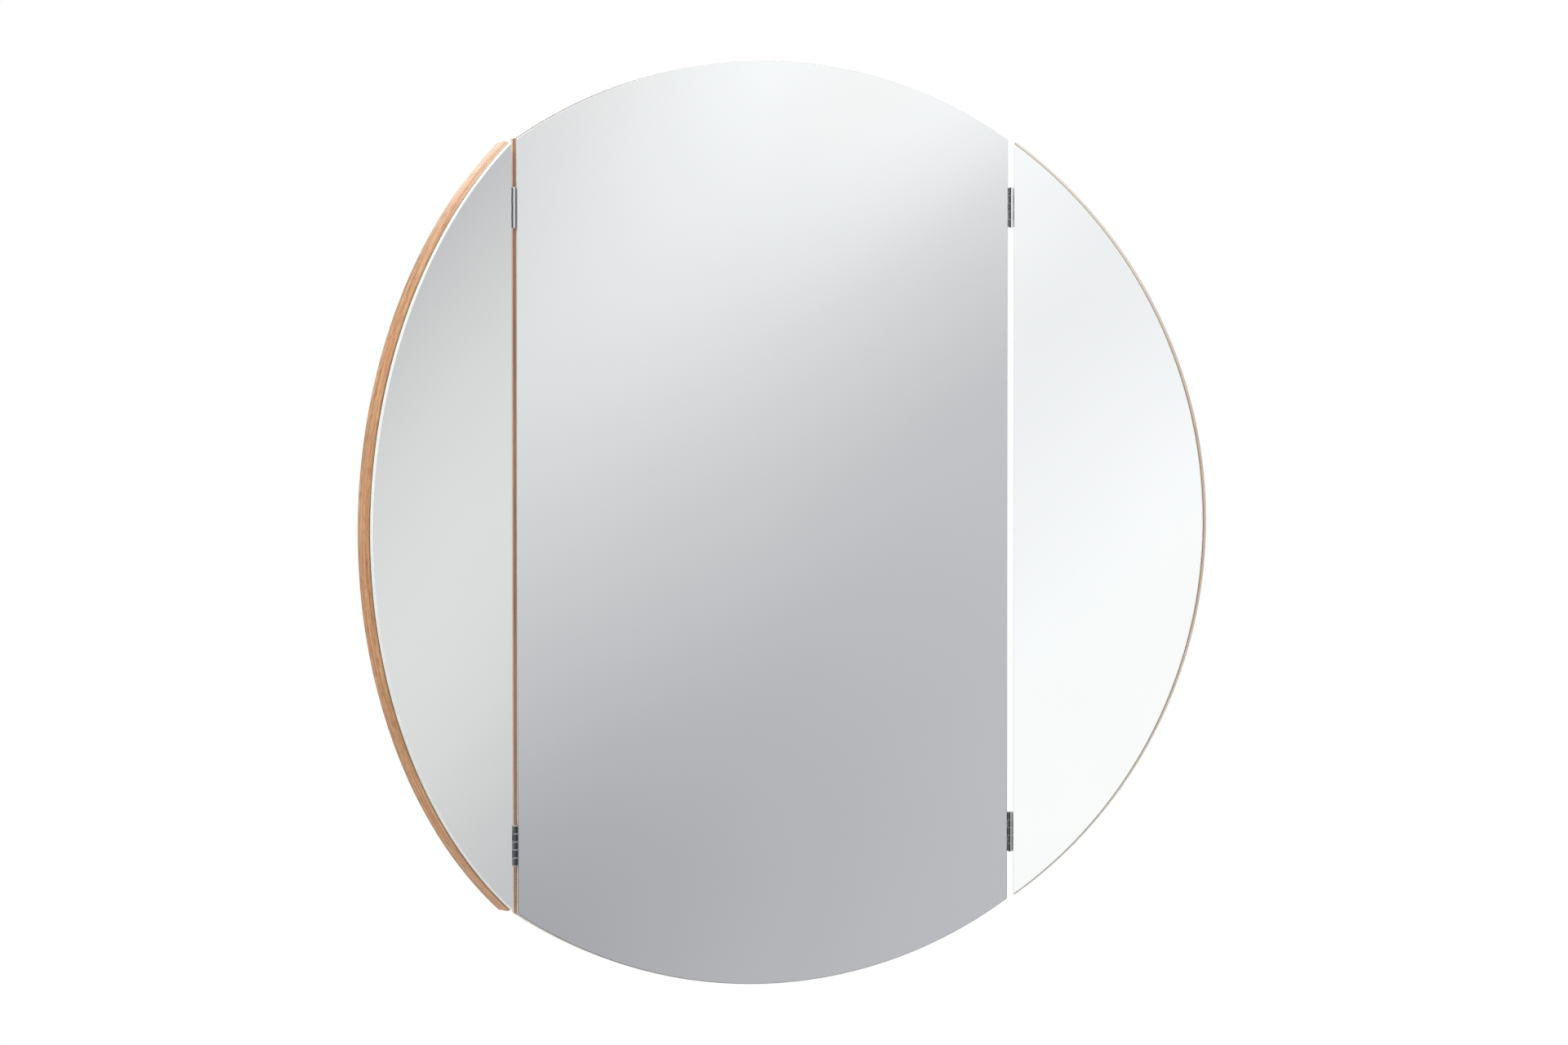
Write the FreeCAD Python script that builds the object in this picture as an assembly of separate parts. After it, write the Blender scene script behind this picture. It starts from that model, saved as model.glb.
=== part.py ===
import FreeCAD, Part
import math
import os

# Panels and boards, lengths in millimetres; the wings' arcs start where the centre's arcs leave off
center_panel_height = 700.0
center_panel_width = 390.0
wing_width = 147.0
board_thickness = 12.0
edge_band_thickness = 0.8
edge_softening = 0.4

# Mirror glass and its bonding tape
glass_thickness = 3.0
glass_setback = 0.45
glass_arris = 0.4
tape_thickness = 0.4
tape_width = 20.0
tape_rim_margin = 15.0
center_tape_shares = (-0.8, -0.4, 0.0, 0.4, 0.8)
wing_tape_shares = (0.25, 0.6)

# Both wings as the photo shows them, swung forward from flat
wing_swing_deg = 30.0

# Butt hinges
hinge_length = 30.0
hinge_corner_offset = 51.65
hinge_leaf_thickness = 0.9
hinge_leaf_margin = 1.3
hinge_leaf_corner = 2.0
hinge_pin_diameter = 1.5
hinge_pin_clearance = 0.05
hinge_pin_head_diameter = 2.4
hinge_pin_head_crown_diameter = 1.6
hinge_pin_head_height = 0.4
hinge_axis_lead = 0.6
hinge_knuckle_count = 5
hinge_knuckle_gap = 0.2
hinge_notch_clearance = 0.4

# Countersunk screws of the hinges
hinge_screw_spacing = 16.0
hinge_screw_head_diameter = 4.2
hinge_screw_shank_diameter = 2.4
hinge_screw_length = 12.0
hinge_screw_recess_span = 2.4
hinge_screw_recess_width = 0.6
hinge_screw_recess_depth = 0.5

# Keyhole hanger plates let into the back
hanger_edge_inset = 70.0
hanger_top_offset = 180.0
hanger_plate_length = 46.0
hanger_plate_width = 16.0
hanger_plate_thickness = 1.8
hanger_plate_inset = 0.2
hanger_plate_clearance = 0.2
keyhole_entry_diameter = 10.0
keyhole_slot_width = 5.0
keyhole_slot_length = 9.0
keyhole_entry_offset = 4.0
keyhole_pocket_width = 12.0
keyhole_pocket_depth = 5.5

# Countersunk screws of the hanger plates
hanger_screw_spacing = 34.0
hanger_screw_head_diameter = 6.0
hanger_screw_shank_diameter = 3.0
hanger_screw_length = 9.0
hanger_screw_recess_span = 3.4
hanger_screw_recess_width = 0.9
hanger_screw_recess_depth = 0.9

# Shared fit and tool values
screw_clearance = 0.05
cut_overrun = 1.0
pick_tolerance = 0.001

# Derived places: x to the viewer's right, y back to the wall, z up, zero on the centre board's back
center_half = center_panel_width / 2
board_front = -board_thickness
glass_back = board_front - tape_thickness
glass_front = glass_back - glass_thickness
barrel_radius = hinge_pin_diameter / 2 + hinge_pin_clearance + hinge_leaf_thickness
axis_x = center_half + barrel_radius
axis_y = glass_front - hinge_axis_lead
wing_inner = axis_x + barrel_radius
center_radius = center_panel_height / 2
corner_height = math.sqrt(center_radius ** 2 - center_half ** 2)
wing_tip_height = math.sqrt(center_radius ** 2 - wing_inner ** 2)
wing_radius = (wing_tip_height ** 2 + wing_width ** 2) / (2 * wing_width)
wing_reach = wing_inner + wing_width
hinge_height = corner_height - hinge_corner_offset
screw_line_y = board_front / 2
notch_y = barrel_radius + hinge_notch_clearance
leaf_reach = screw_line_y - axis_y + hinge_screw_head_diameter / 2 + hinge_leaf_margin
hanger_x = center_half - hanger_edge_inset
hanger_z = center_radius - hanger_top_offset
plate_back = -hanger_plate_inset
plate_front = plate_back - hanger_plate_thickness

# Each panel's round outline: x of its middle, and its radius
CENTER_ARC = (0, center_radius)
WING_ARC = (wing_reach - wing_radius, wing_radius)

# Which way along x a right-hand hinge leaf and its screws face
TO_CENTER = -1
TO_WING = 1

X_AXIS = FreeCAD.Vector(1, 0, 0)
Y_AXIS = FreeCAD.Vector(0, 1, 0)
Z_AXIS = FreeCAD.Vector(0, 0, 1)
ORIGIN = FreeCAD.Vector(0, 0, 0)


def height_at(arc, inset, x):
    """Height of an outline at this x, drawn in from its arc by the inset."""
    middle_x, radius = arc
    return math.sqrt((radius - inset) ** 2 - (x - middle_x) ** 2)


def arc_edge(arc, inset, x_start, x_end, y, side):
    """Arc from one upright line to another, above (side 1) or below (side -1) the middle."""
    x_mid = (x_start + x_end) / 2
    points = [FreeCAD.Vector(x, y, side * height_at(arc, inset, x)) for x in (x_start, x_mid, x_end)]
    return Part.Arc(*points).toShape()


def rim_arc_edge(inset, x, y):
    """The wing's arc from an upright line round the right-hand side and back to the same line."""
    height = height_at(WING_ARC, inset, x)
    tip = FreeCAD.Vector(wing_reach - inset, y, 0)
    return Part.Arc(FreeCAD.Vector(x, y, height), tip, FreeCAD.Vector(x, y, -height)).toShape()


def joined_prism(edges, depth):
    """Solid swept back along y from the closed outline that these edges make."""
    wire = Part.Wire(Part.__sortEdges__(edges))
    return Part.Face(wire).extrude(FreeCAD.Vector(0, depth, 0))


def upright_edge(x, y, z_start, z_end):
    return Part.makeLine(FreeCAD.Vector(x, y, z_start), FreeCAD.Vector(x, y, z_end))


def upright_slice(arc, inset, x_low, x_high, y_low, y_high):
    """Slice of a round panel between two upright lines."""
    z_low = height_at(arc, inset, x_low)
    z_high = height_at(arc, inset, x_high)
    edges = [
        arc_edge(arc, inset, x_low, x_high, y_low, 1),
        upright_edge(x_high, y_low, z_high, -z_high),
        arc_edge(arc, inset, x_low, x_high, y_low, -1),
        upright_edge(x_low, y_low, -z_low, z_low),
    ]
    return joined_prism(edges, y_high - y_low)


def wing_slice(inset, x_low, y_low, y_high):
    """The part of the wing's round outline to the right of an upright line."""
    height = height_at(WING_ARC, inset, x_low)
    edges = [rim_arc_edge(inset, x_low, y_low), upright_edge(x_low, y_low, -height, height)]
    return joined_prism(edges, y_high - y_low)


def picked(solid, wanted):
    return [edge for edge in solid.Edges if wanted(edge)]


def is_upright_at(edge, x):
    """True for the long upright edges that lie at this x."""
    across = all(abs(vertex.X - x) < pick_tolerance for vertex in edge.Vertexes)
    return across and edge.BoundBox.YLength < pick_tolerance


def rim_ring(arc):
    """Whole ring of edge strip with both outer corners eased, and its seam on the far left."""
    middle_x, radius = arc
    core_radius = radius - edge_band_thickness
    flat_radius = radius - edge_softening
    front_y = board_front + edge_softening
    front = [(core_radius, board_front), (flat_radius, board_front), (radius, front_y)]
    back = [(radius, -edge_softening), (flat_radius, 0), (core_radius, 0)]
    points = [FreeCAD.Vector(middle_x - reach, y, 0) for reach, y in front + back]
    outline = Part.makePolygon(points + points[:1])
    return Part.Face(outline).revolve(X_AXIS * middle_x, Y_AXIS, 360)


def cut_block(x_low, x_high, z_low, z_high):
    """Block through the whole depth of the boards."""
    corner = FreeCAD.Vector(x_low, board_front - cut_overrun, z_low)
    return Part.makeBox(x_high - x_low, board_thickness + 2 * cut_overrun, z_high - z_low, corner)


def center_arc_band():
    """Strip bent over the centre panel's top arc."""
    half = center_half - edge_band_thickness
    return rim_ring(CENTER_ARC).common(cut_block(-half, half, 0, center_radius + cut_overrun)).Solids[0]


def wing_rim_band():
    """Strip bent round the wing's arc."""
    reach = wing_radius + cut_overrun
    block = cut_block(wing_inner + edge_band_thickness, wing_reach + cut_overrun, -reach, reach)
    return rim_ring(WING_ARC).common(block).Solids[0]


def straight_band(arc, x_low, x_high, x_outer):
    """Strip on an upright side, lapping the ends of the bent strips."""
    strip = upright_slice(arc, 0, x_low, x_high, board_front, 0)
    return strip.makeChamfer(edge_softening, picked(strip, lambda edge: is_upright_at(edge, x_outer)))


def bevelled_glass(blank):
    """Glass with a fine arris ground along every front and back edge."""
    return blank.makeChamfer(glass_arris, picked(blank, lambda edge: edge.BoundBox.YLength < pick_tolerance))


def tape_strips(arc, centers):
    """Square-cut strips of bonding tape, each as tall as the panel allows there."""
    strips = []
    for x in centers:
        reach = abs(x) + tape_width / 2
        half_length = height_at(arc, tape_rim_margin, reach)
        corner = FreeCAD.Vector(x - tape_width / 2, glass_back, -half_length)
        strips.append(Part.makeBox(tape_width, tape_thickness, 2 * half_length, corner))
    return strips


def screw_blank(head_diameter, shank_diameter, length, growth):
    """Countersunk screw down the z axis with its head's top at zero, grown on every radius by a clearance."""
    head_radius = head_diameter / 2 + growth
    shank_radius = shank_diameter / 2 + growth
    head_height = head_radius - shank_radius
    point_height = shank_diameter
    shank_height = length + growth - head_height - point_height
    head = Part.makeCone(head_radius, shank_radius, head_height)
    shank = Part.makeCylinder(shank_radius, shank_height, FreeCAD.Vector(0, 0, head_height))
    point_base = FreeCAD.Vector(0, 0, head_height + shank_height)
    point = Part.makeCone(shank_radius, 0, point_height, point_base)
    return head.fuse([shank, point]).removeSplitter()


def screw_space(head_diameter, shank_diameter, length):
    """The hole that a screw needs, open past its head."""
    blank = screw_blank(head_diameter, shank_diameter, length, screw_clearance)
    mouth_radius = head_diameter / 2 + screw_clearance
    mouth = Part.makeCylinder(mouth_radius, cut_overrun, FreeCAD.Vector(0, 0, -cut_overrun))
    return blank.fuse(mouth).removeSplitter()


def cross_slotted(screw, span, width, depth):
    """The screw with a cross cut into its head."""
    for size_x, size_y in ((span, width), (width, span)):
        corner = FreeCAD.Vector(-size_x / 2, -size_y / 2, -cut_overrun)
        screw = screw.cut(Part.makeBox(size_x, size_y, depth + cut_overrun, corner))
    return screw


def hinge_screw():
    blank = screw_blank(hinge_screw_head_diameter, hinge_screw_shank_diameter, hinge_screw_length, 0)
    recess = (hinge_screw_recess_span, hinge_screw_recess_width, hinge_screw_recess_depth)
    return cross_slotted(blank, *recess)


def hinge_screw_space():
    return screw_space(hinge_screw_head_diameter, hinge_screw_shank_diameter, hinge_screw_length)


def hanger_screw():
    blank = screw_blank(hanger_screw_head_diameter, hanger_screw_shank_diameter, hanger_screw_length, 0)
    recess = (hanger_screw_recess_span, hanger_screw_recess_width, hanger_screw_recess_depth)
    return cross_slotted(blank, *recess)


def hanger_screw_space():
    return screw_space(hanger_screw_head_diameter, hanger_screw_shank_diameter, hanger_screw_length)


def placed(shape, point, direction):
    """A copy that stands on the point and runs along the direction."""
    copy = shape.copy()
    copy.Placement = FreeCAD.Placement(point, FreeCAD.Rotation(Z_AXIS, direction))
    return copy


def at_hinge_screws(shape, direction):
    """Copies of a screw or its hole at every screw place of the right-hand leaves that face this way."""
    x = axis_x + direction * (barrel_radius - hinge_leaf_thickness)
    half = hinge_screw_spacing / 2
    heights = [center + offset for center in (hinge_height, -hinge_height) for offset in (half, -half)]
    return [placed(shape, FreeCAD.Vector(x, screw_line_y, z), X_AXIS * direction) for z in heights]


def at_hanger_screws(shape):
    """Copies of a screw or its hole at both screw places of the right-hand hanger plate."""
    half = hanger_screw_spacing / 2
    heights = (hanger_z + half, hanger_z - half)
    return [placed(shape, FreeCAD.Vector(hanger_x, plate_back, z), -Y_AXIS) for z in heights]


def knuckle_bounds(index):
    """Low and high end of one knuckle, from the hinge's middle."""
    gaps = (hinge_knuckle_count - 1) * hinge_knuckle_gap
    length = (hinge_length - gaps) / hinge_knuckle_count
    low = index * (length + hinge_knuckle_gap) - hinge_length / 2
    return low, low + length


def knuckle_segment(index, side):
    """One rolled knuckle with the neck that joins it to its leaf, about the hinge axis at zero."""
    low, high = knuckle_bounds(index)
    outer_x = side * barrel_radius
    inner_x = side * (barrel_radius - hinge_leaf_thickness)
    meet_y = math.sqrt(barrel_radius ** 2 - inner_x ** 2)
    corners = [
        FreeCAD.Vector(outer_x, 0, low),
        FreeCAD.Vector(outer_x, notch_y, low),
        FreeCAD.Vector(inner_x, notch_y, low),
        FreeCAD.Vector(inner_x, meet_y, low),
    ]
    edges = [Part.makeLine(start, end) for start, end in zip(corners, corners[1:])]
    edges.append(Part.Arc(corners[3], FreeCAD.Vector(-outer_x, 0, low), corners[0]).toShape())
    return Part.Face(Part.Wire(edges)).extrude(FreeCAD.Vector(0, 0, high - low))


def leaf(side, indices):
    """A hinge leaf on one side of the axis, with these knuckles."""
    low_x = min(side * barrel_radius, side * (barrel_radius - hinge_leaf_thickness))
    corner = FreeCAD.Vector(low_x, notch_y, -hinge_length / 2)
    plate = Part.makeBox(hinge_leaf_thickness, leaf_reach - notch_y, hinge_length, corner)
    plate = plate.makeFillet(hinge_leaf_corner, picked(plate, is_leaf_corner))
    whole = plate.fuse([knuckle_segment(index, side) for index in indices]).removeSplitter()
    bore_base = FreeCAD.Vector(0, 0, -hinge_length / 2 - cut_overrun)
    bore_radius = hinge_pin_diameter / 2 + hinge_pin_clearance
    return whole.cut(Part.makeCylinder(bore_radius, hinge_length + 2 * cut_overrun, bore_base))


def is_leaf_corner(edge):
    """True for the short edges across the two far corners of a leaf."""
    far = all(abs(vertex.Y - leaf_reach) < pick_tolerance for vertex in edge.Vertexes)
    return far and edge.BoundBox.ZLength < pick_tolerance


def hinge_leaf(z, side, indices):
    """A leaf in its place on the right-hand hinge line, with its screw holes."""
    place = leaf(side, indices)
    place.translate(FreeCAD.Vector(axis_x, axis_y, z))
    return place.cut(at_hinge_screws(hinge_screw_space(), side)).Solids[0]


def hinge_pin(z):
    """Pin with a low head on each end, in its place on the right-hand hinge line."""
    half = hinge_length / 2
    pin = Part.makeCylinder(hinge_pin_diameter / 2, hinge_length, FreeCAD.Vector(0, 0, -half))
    head_radius = hinge_pin_head_diameter / 2
    crown_radius = hinge_pin_head_crown_diameter / 2
    heads = [
        Part.makeCone(head_radius, crown_radius, hinge_pin_head_height, Z_AXIS * end, Z_AXIS * end)
        for end in (half, -half)
    ]
    whole = pin.fuse(heads).removeSplitter()
    whole.translate(FreeCAD.Vector(axis_x, axis_y, z))
    return whole.Solids[0]


def stadium(z_low, z_high, width, y_low, y_high):
    """Upright prism with round ends at the right-hand hanger, from one end centre to the other."""
    radius = width / 2
    low = hanger_z + z_low
    high = hanger_z + z_high
    left = hanger_x - radius
    right = hanger_x + radius
    ends = []
    for z, tip in ((high, high + radius), (low, low - radius)):
        points = [FreeCAD.Vector(x, y_low, h) for x, h in ((left, z), (hanger_x, tip), (right, z))]
        ends.append(Part.Arc(*points).toShape())
    sides = [upright_edge(left, y_low, low, high), upright_edge(right, y_low, low, high)]
    return joined_prism(ends + sides, y_high - y_low)


def hanger_plate():
    """Steel plate with a keyhole and two countersunk holes."""
    end = (hanger_plate_length - hanger_plate_width) / 2
    plate = stadium(-end, end, hanger_plate_width, plate_front, plate_back)
    low = plate_front - cut_overrun
    high = plate_back + cut_overrun
    entry_base = FreeCAD.Vector(hanger_x, low, hanger_z - keyhole_entry_offset)
    entry = Part.makeCylinder(keyhole_entry_diameter / 2, high - low, entry_base, Y_AXIS)
    slot_top = keyhole_slot_length - keyhole_entry_offset
    slot = stadium(-keyhole_entry_offset, slot_top, keyhole_slot_width, low, high)
    return plate.cut([entry, slot] + at_hanger_screws(hanger_screw_space())).Solids[0]


def hanger_recess():
    """Routed seat for the plate and the deeper pocket for the wall screw's head."""
    end = (hanger_plate_length - hanger_plate_width) / 2
    seat_width = hanger_plate_width + 2 * hanger_plate_clearance
    seat = stadium(-end, end, seat_width, plate_front, cut_overrun)
    pocket_front = plate_front - keyhole_pocket_depth
    slot_top = keyhole_slot_length - keyhole_entry_offset
    pocket = stadium(-keyhole_entry_offset, slot_top, keyhole_pocket_width, pocket_front, cut_overrun)
    return [seat, pocket]


def mirrored(shape):
    return shape.mirror(ORIGIN, X_AXIS)


def both_sides(shapes):
    return shapes + [mirrored(shape) for shape in shapes]


def center_board():
    """Centre board's core with every hole and recess in it."""
    half = center_half - edge_band_thickness
    core = upright_slice(CENTER_ARC, edge_band_thickness, -half, half, board_front, 0)
    screw_holes = at_hinge_screws(hinge_screw_space(), TO_CENTER) + at_hanger_screws(hanger_screw_space())
    return core.cut(both_sides(screw_holes + hanger_recess())).Solids[0]


def center_side_band():
    """Right-hand strip of the centre panel, with its screw holes."""
    band = straight_band(CENTER_ARC, center_half - edge_band_thickness, center_half, center_half)
    return band.cut(at_hinge_screws(hinge_screw_space(), TO_CENTER)).Solids[0]


def wing_board():
    """Right-hand wing board's core with its screw holes."""
    core = wing_slice(edge_band_thickness, wing_inner + edge_band_thickness, board_front, 0)
    return core.cut(at_hinge_screws(hinge_screw_space(), TO_WING)).Solids[0]


def wing_inner_band():
    """Strip on the right-hand wing's straight side, with its screw holes."""
    band = straight_band(WING_ARC, wing_inner, wing_inner + edge_band_thickness, wing_inner)
    return band.cut(at_hinge_screws(hinge_screw_space(), TO_WING)).Solids[0]


def center_glass():
    half = center_half - glass_setback
    return bevelled_glass(upright_slice(CENTER_ARC, glass_setback, -half, half, glass_front, glass_back))


def wing_glass():
    return bevelled_glass(wing_slice(glass_setback, wing_inner + glass_setback, glass_front, glass_back))


def wing_tapes():
    return tape_strips(WING_ARC, [wing_inner + share * wing_width for share in wing_tape_shares])


def swung(shapes, side):
    """Flat right-hand wing pieces moved to their side and swung forward to the photo's pose."""
    turn = -wing_swing_deg if side == "right" else wing_swing_deg
    hinge_x = axis_x if side == "right" else -axis_x
    moved = []
    for shape in shapes:
        piece = shape.copy() if side == "right" else mirrored(shape)
        piece.rotate(FreeCAD.Vector(hinge_x, axis_y, 0), Z_AXIS, turn)
        moved.append(piece)
    return moved


def save(name, solids):
    """One node's file: a lone solid, or a group of separate solids."""
    shape = solids[0] if len(solids) == 1 else Part.makeCompound(solids)
    shape.exportStep("parts/" + name + ".step")


def save_center():
    """Everything that stays on the wall."""
    save("center_board", [center_board()])
    save("center_top_edge_band", [center_arc_band()])
    save("center_bottom_edge_band", [center_arc_band().mirror(ORIGIN, Z_AXIS)])
    save("center_right_edge_band", [center_side_band()])
    save("center_left_edge_band", [mirrored(center_side_band())])
    save("center_mirror", [center_glass()])
    tape_places = [share * center_half for share in center_tape_shares]
    save("center_mirror_tape", tape_strips(CENTER_ARC, tape_places))
    save("center_hinge_screws", both_sides(at_hinge_screws(hinge_screw(), TO_CENTER)))
    save("right_hanger_plate", [hanger_plate()])
    save("left_hanger_plate", [mirrored(hanger_plate())])
    save("hanger_screws", both_sides(at_hanger_screws(hanger_screw())))
    even = range(0, hinge_knuckle_count, 2)
    for level, z in (("upper", hinge_height), ("lower", -hinge_height)):
        fixed_leaf = hinge_leaf(z, TO_CENTER, even)
        save("right_" + level + "_hinge_center_leaf", [fixed_leaf])
        save("left_" + level + "_hinge_center_leaf", [mirrored(fixed_leaf)])
        save("right_" + level + "_hinge_pin", [hinge_pin(z)])
        save("left_" + level + "_hinge_pin", [mirrored(hinge_pin(z))])


def save_wing(side):
    """Everything that folds with one wing."""
    name = side + "_wing_"
    save(name + "board", swung([wing_board()], side))
    save(name + "rim_edge_band", swung([wing_rim_band()], side))
    save(name + "inner_edge_band", swung([wing_inner_band()], side))
    save(name + "mirror", swung([wing_glass()], side))
    save(name + "mirror_tape", swung(wing_tapes(), side))
    save(name + "hinge_screws", swung(at_hinge_screws(hinge_screw(), TO_WING), side))
    odd = range(1, hinge_knuckle_count, 2)
    for level, z in (("upper", hinge_height), ("lower", -hinge_height)):
        save(side + "_" + level + "_hinge_wing_leaf", swung([hinge_leaf(z, TO_WING, odd)], side))


os.makedirs("parts", exist_ok=True)
save_center()
save_wing("left")
save_wing("right")
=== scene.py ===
# %% [markdown]
# # A three-panel mirror with wooden edges
# The object is a round mirror cut into three: a wide middle panel that hangs on the wall, and two wings
# that swing on small steel hinges. Every panel is a thin board with a strip of wood round its edge and
# a sheet of mirror glass taped to its front. The solid model already gives each piece its place, so
# this lesson loads it first, and measures each piece made anew against the box of the solid it replaces.

# %% Load the solid model
import bmesh
import bpy
import math
from mathutils import Matrix, Vector


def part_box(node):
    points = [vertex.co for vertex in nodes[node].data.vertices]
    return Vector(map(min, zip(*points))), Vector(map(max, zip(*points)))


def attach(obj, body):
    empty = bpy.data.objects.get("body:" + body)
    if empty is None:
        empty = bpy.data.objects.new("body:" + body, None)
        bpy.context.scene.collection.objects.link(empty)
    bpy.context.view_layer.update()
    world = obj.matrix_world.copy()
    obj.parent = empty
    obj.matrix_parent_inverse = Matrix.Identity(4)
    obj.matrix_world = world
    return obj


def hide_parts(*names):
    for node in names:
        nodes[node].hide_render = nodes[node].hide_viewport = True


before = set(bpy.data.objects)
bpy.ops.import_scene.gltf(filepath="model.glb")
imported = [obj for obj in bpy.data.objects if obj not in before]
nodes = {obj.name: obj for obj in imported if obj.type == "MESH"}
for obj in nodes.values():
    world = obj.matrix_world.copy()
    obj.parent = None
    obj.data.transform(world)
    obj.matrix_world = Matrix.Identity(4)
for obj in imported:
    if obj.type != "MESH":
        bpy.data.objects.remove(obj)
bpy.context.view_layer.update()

# %% [markdown]
# ## The camera
# The photograph was taken from a few metres away, a little to the left and a little above the middle,
# with a long lens: upright edges stay almost parallel. A camera could be pointed with a constraint, but
# plain numbers for place, turn and lens keep the view exactly repeatable.

# %% Camera at the photograph's viewing angle
CAMERA_DISTANCE = 5.3343
CAMERA_SIDE = math.radians(17.593)
CAMERA_HEIGHT = 0.2443
CAMERA_TURN = math.radians(17.796)
CAMERA_DIP = math.radians(2.620)
SENSOR_WIDTH = 36.0
FOCAL_PIXELS = 8618.8
IMAGE_WIDTH = 1920

camera_data = bpy.data.cameras.new("photo_camera")
camera_data.sensor_fit = "HORIZONTAL"
camera_data.sensor_width = SENSOR_WIDTH
camera_data.lens = FOCAL_PIXELS / IMAGE_WIDTH * SENSOR_WIDTH
camera = bpy.data.objects.new("photo_camera", camera_data)
bpy.context.scene.collection.objects.link(camera)
camera.location = (
    -CAMERA_DISTANCE * math.sin(CAMERA_SIDE),
    -CAMERA_DISTANCE * math.cos(CAMERA_SIDE),
    CAMERA_HEIGHT,
)
camera.rotation_euler = (math.pi / 2 - CAMERA_DIP, 0, -CAMERA_TURN)
bpy.context.scene.camera = camera
print("camera lens:", round(camera_data.lens, 1), "mm")

# %% [markdown]
# ## Building finishes from nodes
# A finish is a small graph: coordinates go into a pattern, the pattern goes through a colour ramp, and
# the result feeds the surface shader. All graphs here share a few steps, so each step is a short
# helper. Noise that is squeezed across the grain and left long along it already looks like wood or
# brushed steel.

# %% Helpers that add and link nodes
def new_finish(name):
    """An empty finish with its surface shader ready."""
    material = bpy.data.materials.new(name)
    material.use_nodes = True
    return material, material.node_tree, material.node_tree.nodes["Principled BSDF"]


def add_node(tree, kind, inputs, **settings):
    """A node with its settings, its inputs linked to sockets or set to values."""
    node = tree.nodes.new(kind)
    for key, value in settings.items():
        setattr(node, key, value)
    for key, value in inputs.items():
        if isinstance(value, bpy.types.NodeSocket):
            tree.links.new(value, node.inputs[key])
        else:
            node.inputs[key].default_value = value
    return node


def object_place(tree):
    return add_node(tree, "ShaderNodeTexCoord", {}).outputs["Object"]


print("node helpers ready")


# %% Helpers for patterns and colours
def noise_on(tree, place, cells, detail=3.0):
    """Noise with this many cells to the metre along each axis."""
    mapped = add_node(tree, "ShaderNodeMapping", {"Vector": place, "Scale": cells})
    inputs = {"Vector": mapped.outputs[0], "Scale": 1.0, "Detail": detail}
    return add_node(tree, "ShaderNodeTexNoise", inputs).outputs["Fac"]


def ramp_of(tree, factor, stops, curve="LINEAR"):
    """Colour ramp through (place, colour) stops."""
    node = add_node(tree, "ShaderNodeValToRGB", {"Fac": factor})
    node.color_ramp.interpolation = curve
    elements = node.color_ramp.elements
    while len(elements) < len(stops):
        elements.new(1.0)
    for element, (place, colour) in zip(elements, stops):
        element.position = place
        element.color = (*colour, 1.0)
    return node.outputs["Color"]


def eased(tree, value, low, high, to_low, to_high):
    """The value eased from one span to another and held at both ends."""
    inputs = {0: value, 1: low, 2: high, 3: to_low, 4: to_high}
    return add_node(tree, "ShaderNodeMapRange", inputs, interpolation_type="SMOOTHSTEP").outputs[0]


def mixed(tree, factor, under, over, blend="MIX"):
    """One colour laid over another."""
    node = add_node(tree, "ShaderNodeMix", {}, data_type="RGBA", blend_type=blend)
    for index, value in ((0, factor), (6, under), (7, over)):
        if isinstance(value, bpy.types.NodeSocket):
            tree.links.new(value, node.inputs[index])
        else:
            node.inputs[index].default_value = value
    return node.outputs[2]


def bumped(tree, shader, height, strength, distance):
    """Small relief on the surface from a height pattern."""
    bump = add_node(tree, "ShaderNodeBump", {"Height": height, "Strength": strength, "Distance": distance})
    tree.links.new(bump.outputs[0], shader.inputs["Normal"])


def srgb(red, green, blue):
    """A screen colour from 0 to 255 as the linear colour that nodes work in."""
    shares = [value / 255 for value in (red, green, blue)]
    return tuple(s / 12.92 if s <= 0.04045 else ((s + 0.055) / 1.055) ** 2.4 for s in shares)


print("pattern helpers ready; mid grey is", round(srgb(128, 128, 128)[0], 3))

# %% [markdown]
# ## Mirror glass: finishes
# A mirror is a sheet of clear glass with silver and paint on its back. Seen from the front the silver
# gives a clean reflection, so the face can be metal with almost no roughness. The cut edge is
# different: the long edge is polished and pale, faintly green as all float glass is, and the tiny arris
# along it is ground matt. On the middle pane the arris is painted grey along the bottom as painted
# shade.

# %% Silvered face
silver, tree, shader = new_finish("silvered_face")
place = object_place(tree)
shader.inputs["Metallic"].default_value = 1.0
haze = noise_on(tree, place, (9, 9, 9), 2.0)
tint = ramp_of(tree, haze, [(0.3, (0.945, 0.956, 0.954)), (0.7, (0.957, 0.967, 0.967))])
tree.links.new(tint, shader.inputs["Base Color"])
film = eased(tree, noise_on(tree, place, (60, 60, 60), 4.0), 0.45, 0.75, 0.006, 0.022)
tree.links.new(film, shader.inputs["Roughness"])
print("finish:", silver.name)

# %% Polished edge, ground arris and the paint behind the silver
# Painted shade: the grey the middle pane's arris turns to, full below the first height, gone above the
# second
BOTTOM_SHADE_TONE = srgb(104, 108, 110)
BOTTOM_SHADE_FULL = -0.3
BOTTOM_SHADE_ENDS = 0.05


def edge_finish(name, dark, light, cells, low_rough, high_rough, darkening=None):
    """Pale glass seen on its cut: a two-tone cloud, a matching polish, and, when a tone is given, painted
    shade towards the bottom.
    """
    material, tree, shader = new_finish(name)
    place = object_place(tree)
    cloud = noise_on(tree, place, (cells, cells, cells), 4.0)
    tone = ramp_of(tree, cloud, [(0.3, dark), (0.7, light)])
    # Painted shade: the tone turns to the given grey towards the bottom
    if darkening:
        height = add_node(tree, "ShaderNodeSeparateXYZ", {0: place}).outputs[2]
        tone = mixed(tree, eased(tree, height, BOTTOM_SHADE_FULL, BOTTOM_SHADE_ENDS, 1.0, 0.0), tone, (*darkening, 1))
    tree.links.new(tone, shader.inputs["Base Color"])
    tree.links.new(eased(tree, cloud, 0.3, 0.7, low_rough, high_rough), shader.inputs["Roughness"])
    return material


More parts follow.
